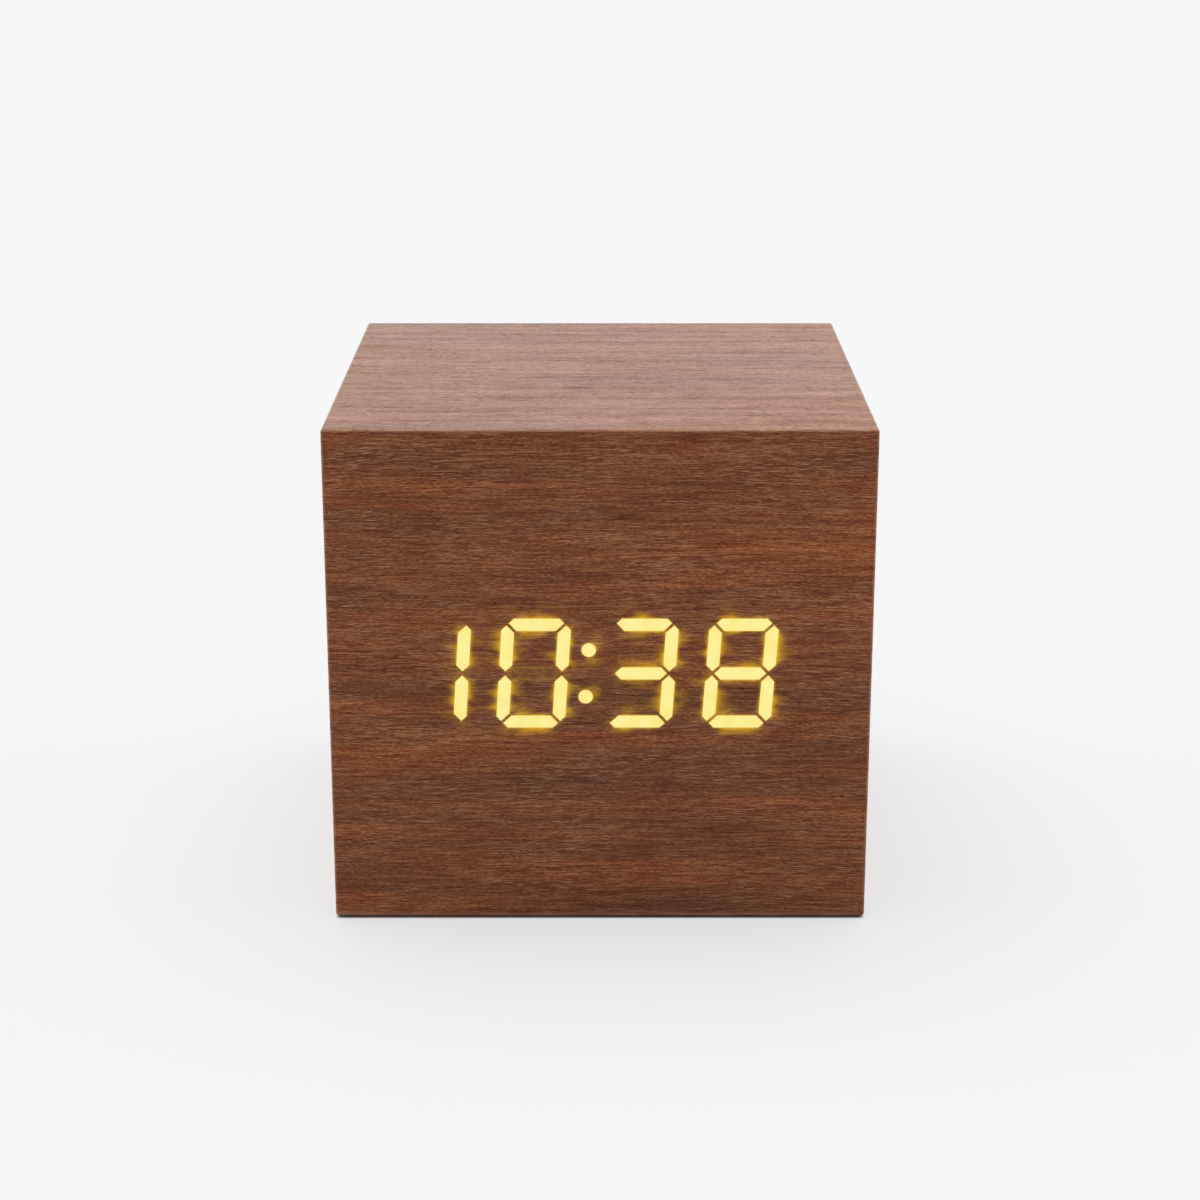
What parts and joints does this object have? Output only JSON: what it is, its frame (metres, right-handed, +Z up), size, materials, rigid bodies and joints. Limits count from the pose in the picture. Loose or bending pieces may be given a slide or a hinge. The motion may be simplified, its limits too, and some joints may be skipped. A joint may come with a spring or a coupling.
{
  "type": "cube alarm clock",
  "caption": "Cube-shaped walnut alarm clock whose lit digits shine through the veneered front, with a recessed rear cover, push buttons and a hinged battery door.",
  "frame": {"origin": "middle of the underside, on the surface that the clock stands on", "axes": "+Z up, -Y out of the front with the digits, +X to the right of someone who looks at the front"},
  "size_m": [0.068, 0.068, 0.0645],
  "materials": {
    "walnut_veneer": "satin walnut veneer",
    "fibreboard": "bare fibreboard",
    "pine": "planed pine",
    "white_plastic": "matt white moulding",
    "lit_amber": "glowing diffuser",
    "dark_diffuser": "clear diffuser",
    "led_body": "small light source",
    "circuit_board": "solder mask",
    "zinc_screw": "zinc plated",
    "chip_black": "matt moulded",
    "nickel": "nickel plated",
    "blue_sleeve": "shrunk sleeve",
    "grey_ribbon": "ribbed insulation",
    "black_wire": "smooth insulation",
    "red_wire": "smooth insulation",
    "black_plastic": "fine texture",
    "black_button": "satin",
    "black_screw": "black oxide",
    "cell_jacket": "printed sleeve"
  },
  "bodies": {
    "clock": {"veneer_wrap": "walnut_veneer", "base_veneer": "walnut_veneer", "front_panel": "fibreboard", "top_panel": "fibreboard", "bottom_panel": "fibreboard", "left_panel": "fibreboard", "right_panel": "fibreboard", "corner_blocks": "pine", "display_reflector": "white_plastic", "lit_segments": "lit_amber", "unlit_segments": "dark_diffuser", "colon_dots": "lit_amber", "segment_leds": "led_body", "display_board": "circuit_board", "display_board_screws": "zinc_screw", "clock_chip": "chip_black", "driver_chip": "chip_black", "crystal": "nickel", "buzzer": "chip_black", "capacitor": "blue_sleeve", "ribbon_plug_display": "white_plastic", "ribbon_plug_keys": "white_plastic", "ribbon_cable": "grey_ribbon", "power_plug": "white_plastic", "battery_lead_minus": "black_wire", "battery_lead_plus": "red_wire", "key_board": "circuit_board", "key_board_screws": "zinc_screw", "tact_switches": "chip_black", "usb_shell": "nickel", "usb_tongue": "chip_black", "rear_cover": "black_plastic", "rear_cover_screws": "black_screw", "battery_cell_1": "cell_jacket", "battery_cell_2": "cell_jacket", "battery_cell_3": "cell_jacket", "contact_plates": "nickel", "contact_springs": "nickel"},
    "door": {"battery_door": "black_plastic"},
    "set_button": {"button_set": "black_button", "plunger_set": "black_button"},
    "up_button": {"button_up": "black_button", "plunger_up": "black_button"},
    "down_button": {"button_down": "black_button", "plunger_down": "black_button"}
  },
  "joints": [
    {"name": "battery_door_hinge", "type": "hinge", "parent": "clock", "child": "door", "pos_m": [0, 0.032, 0.0109], "axis": [-1, 0, 0], "range_deg": [0, 90]},
    {"name": "set_button_press", "type": "slide", "parent": "clock", "child": "set_button", "axis": [0, -1, 0], "range_m": [0, 0.0005], "stiffness_N_per_m": 2500},
    {"name": "up_button_press", "type": "slide", "parent": "clock", "child": "up_button", "axis": [0, -1, 0], "range_m": [0, 0.0005], "stiffness_N_per_m": 2500},
    {"name": "down_button_press", "type": "slide", "parent": "clock", "child": "down_button", "axis": [0, -1, 0], "range_m": [0, 0.0005], "stiffness_N_per_m": 2500}
  ]
}
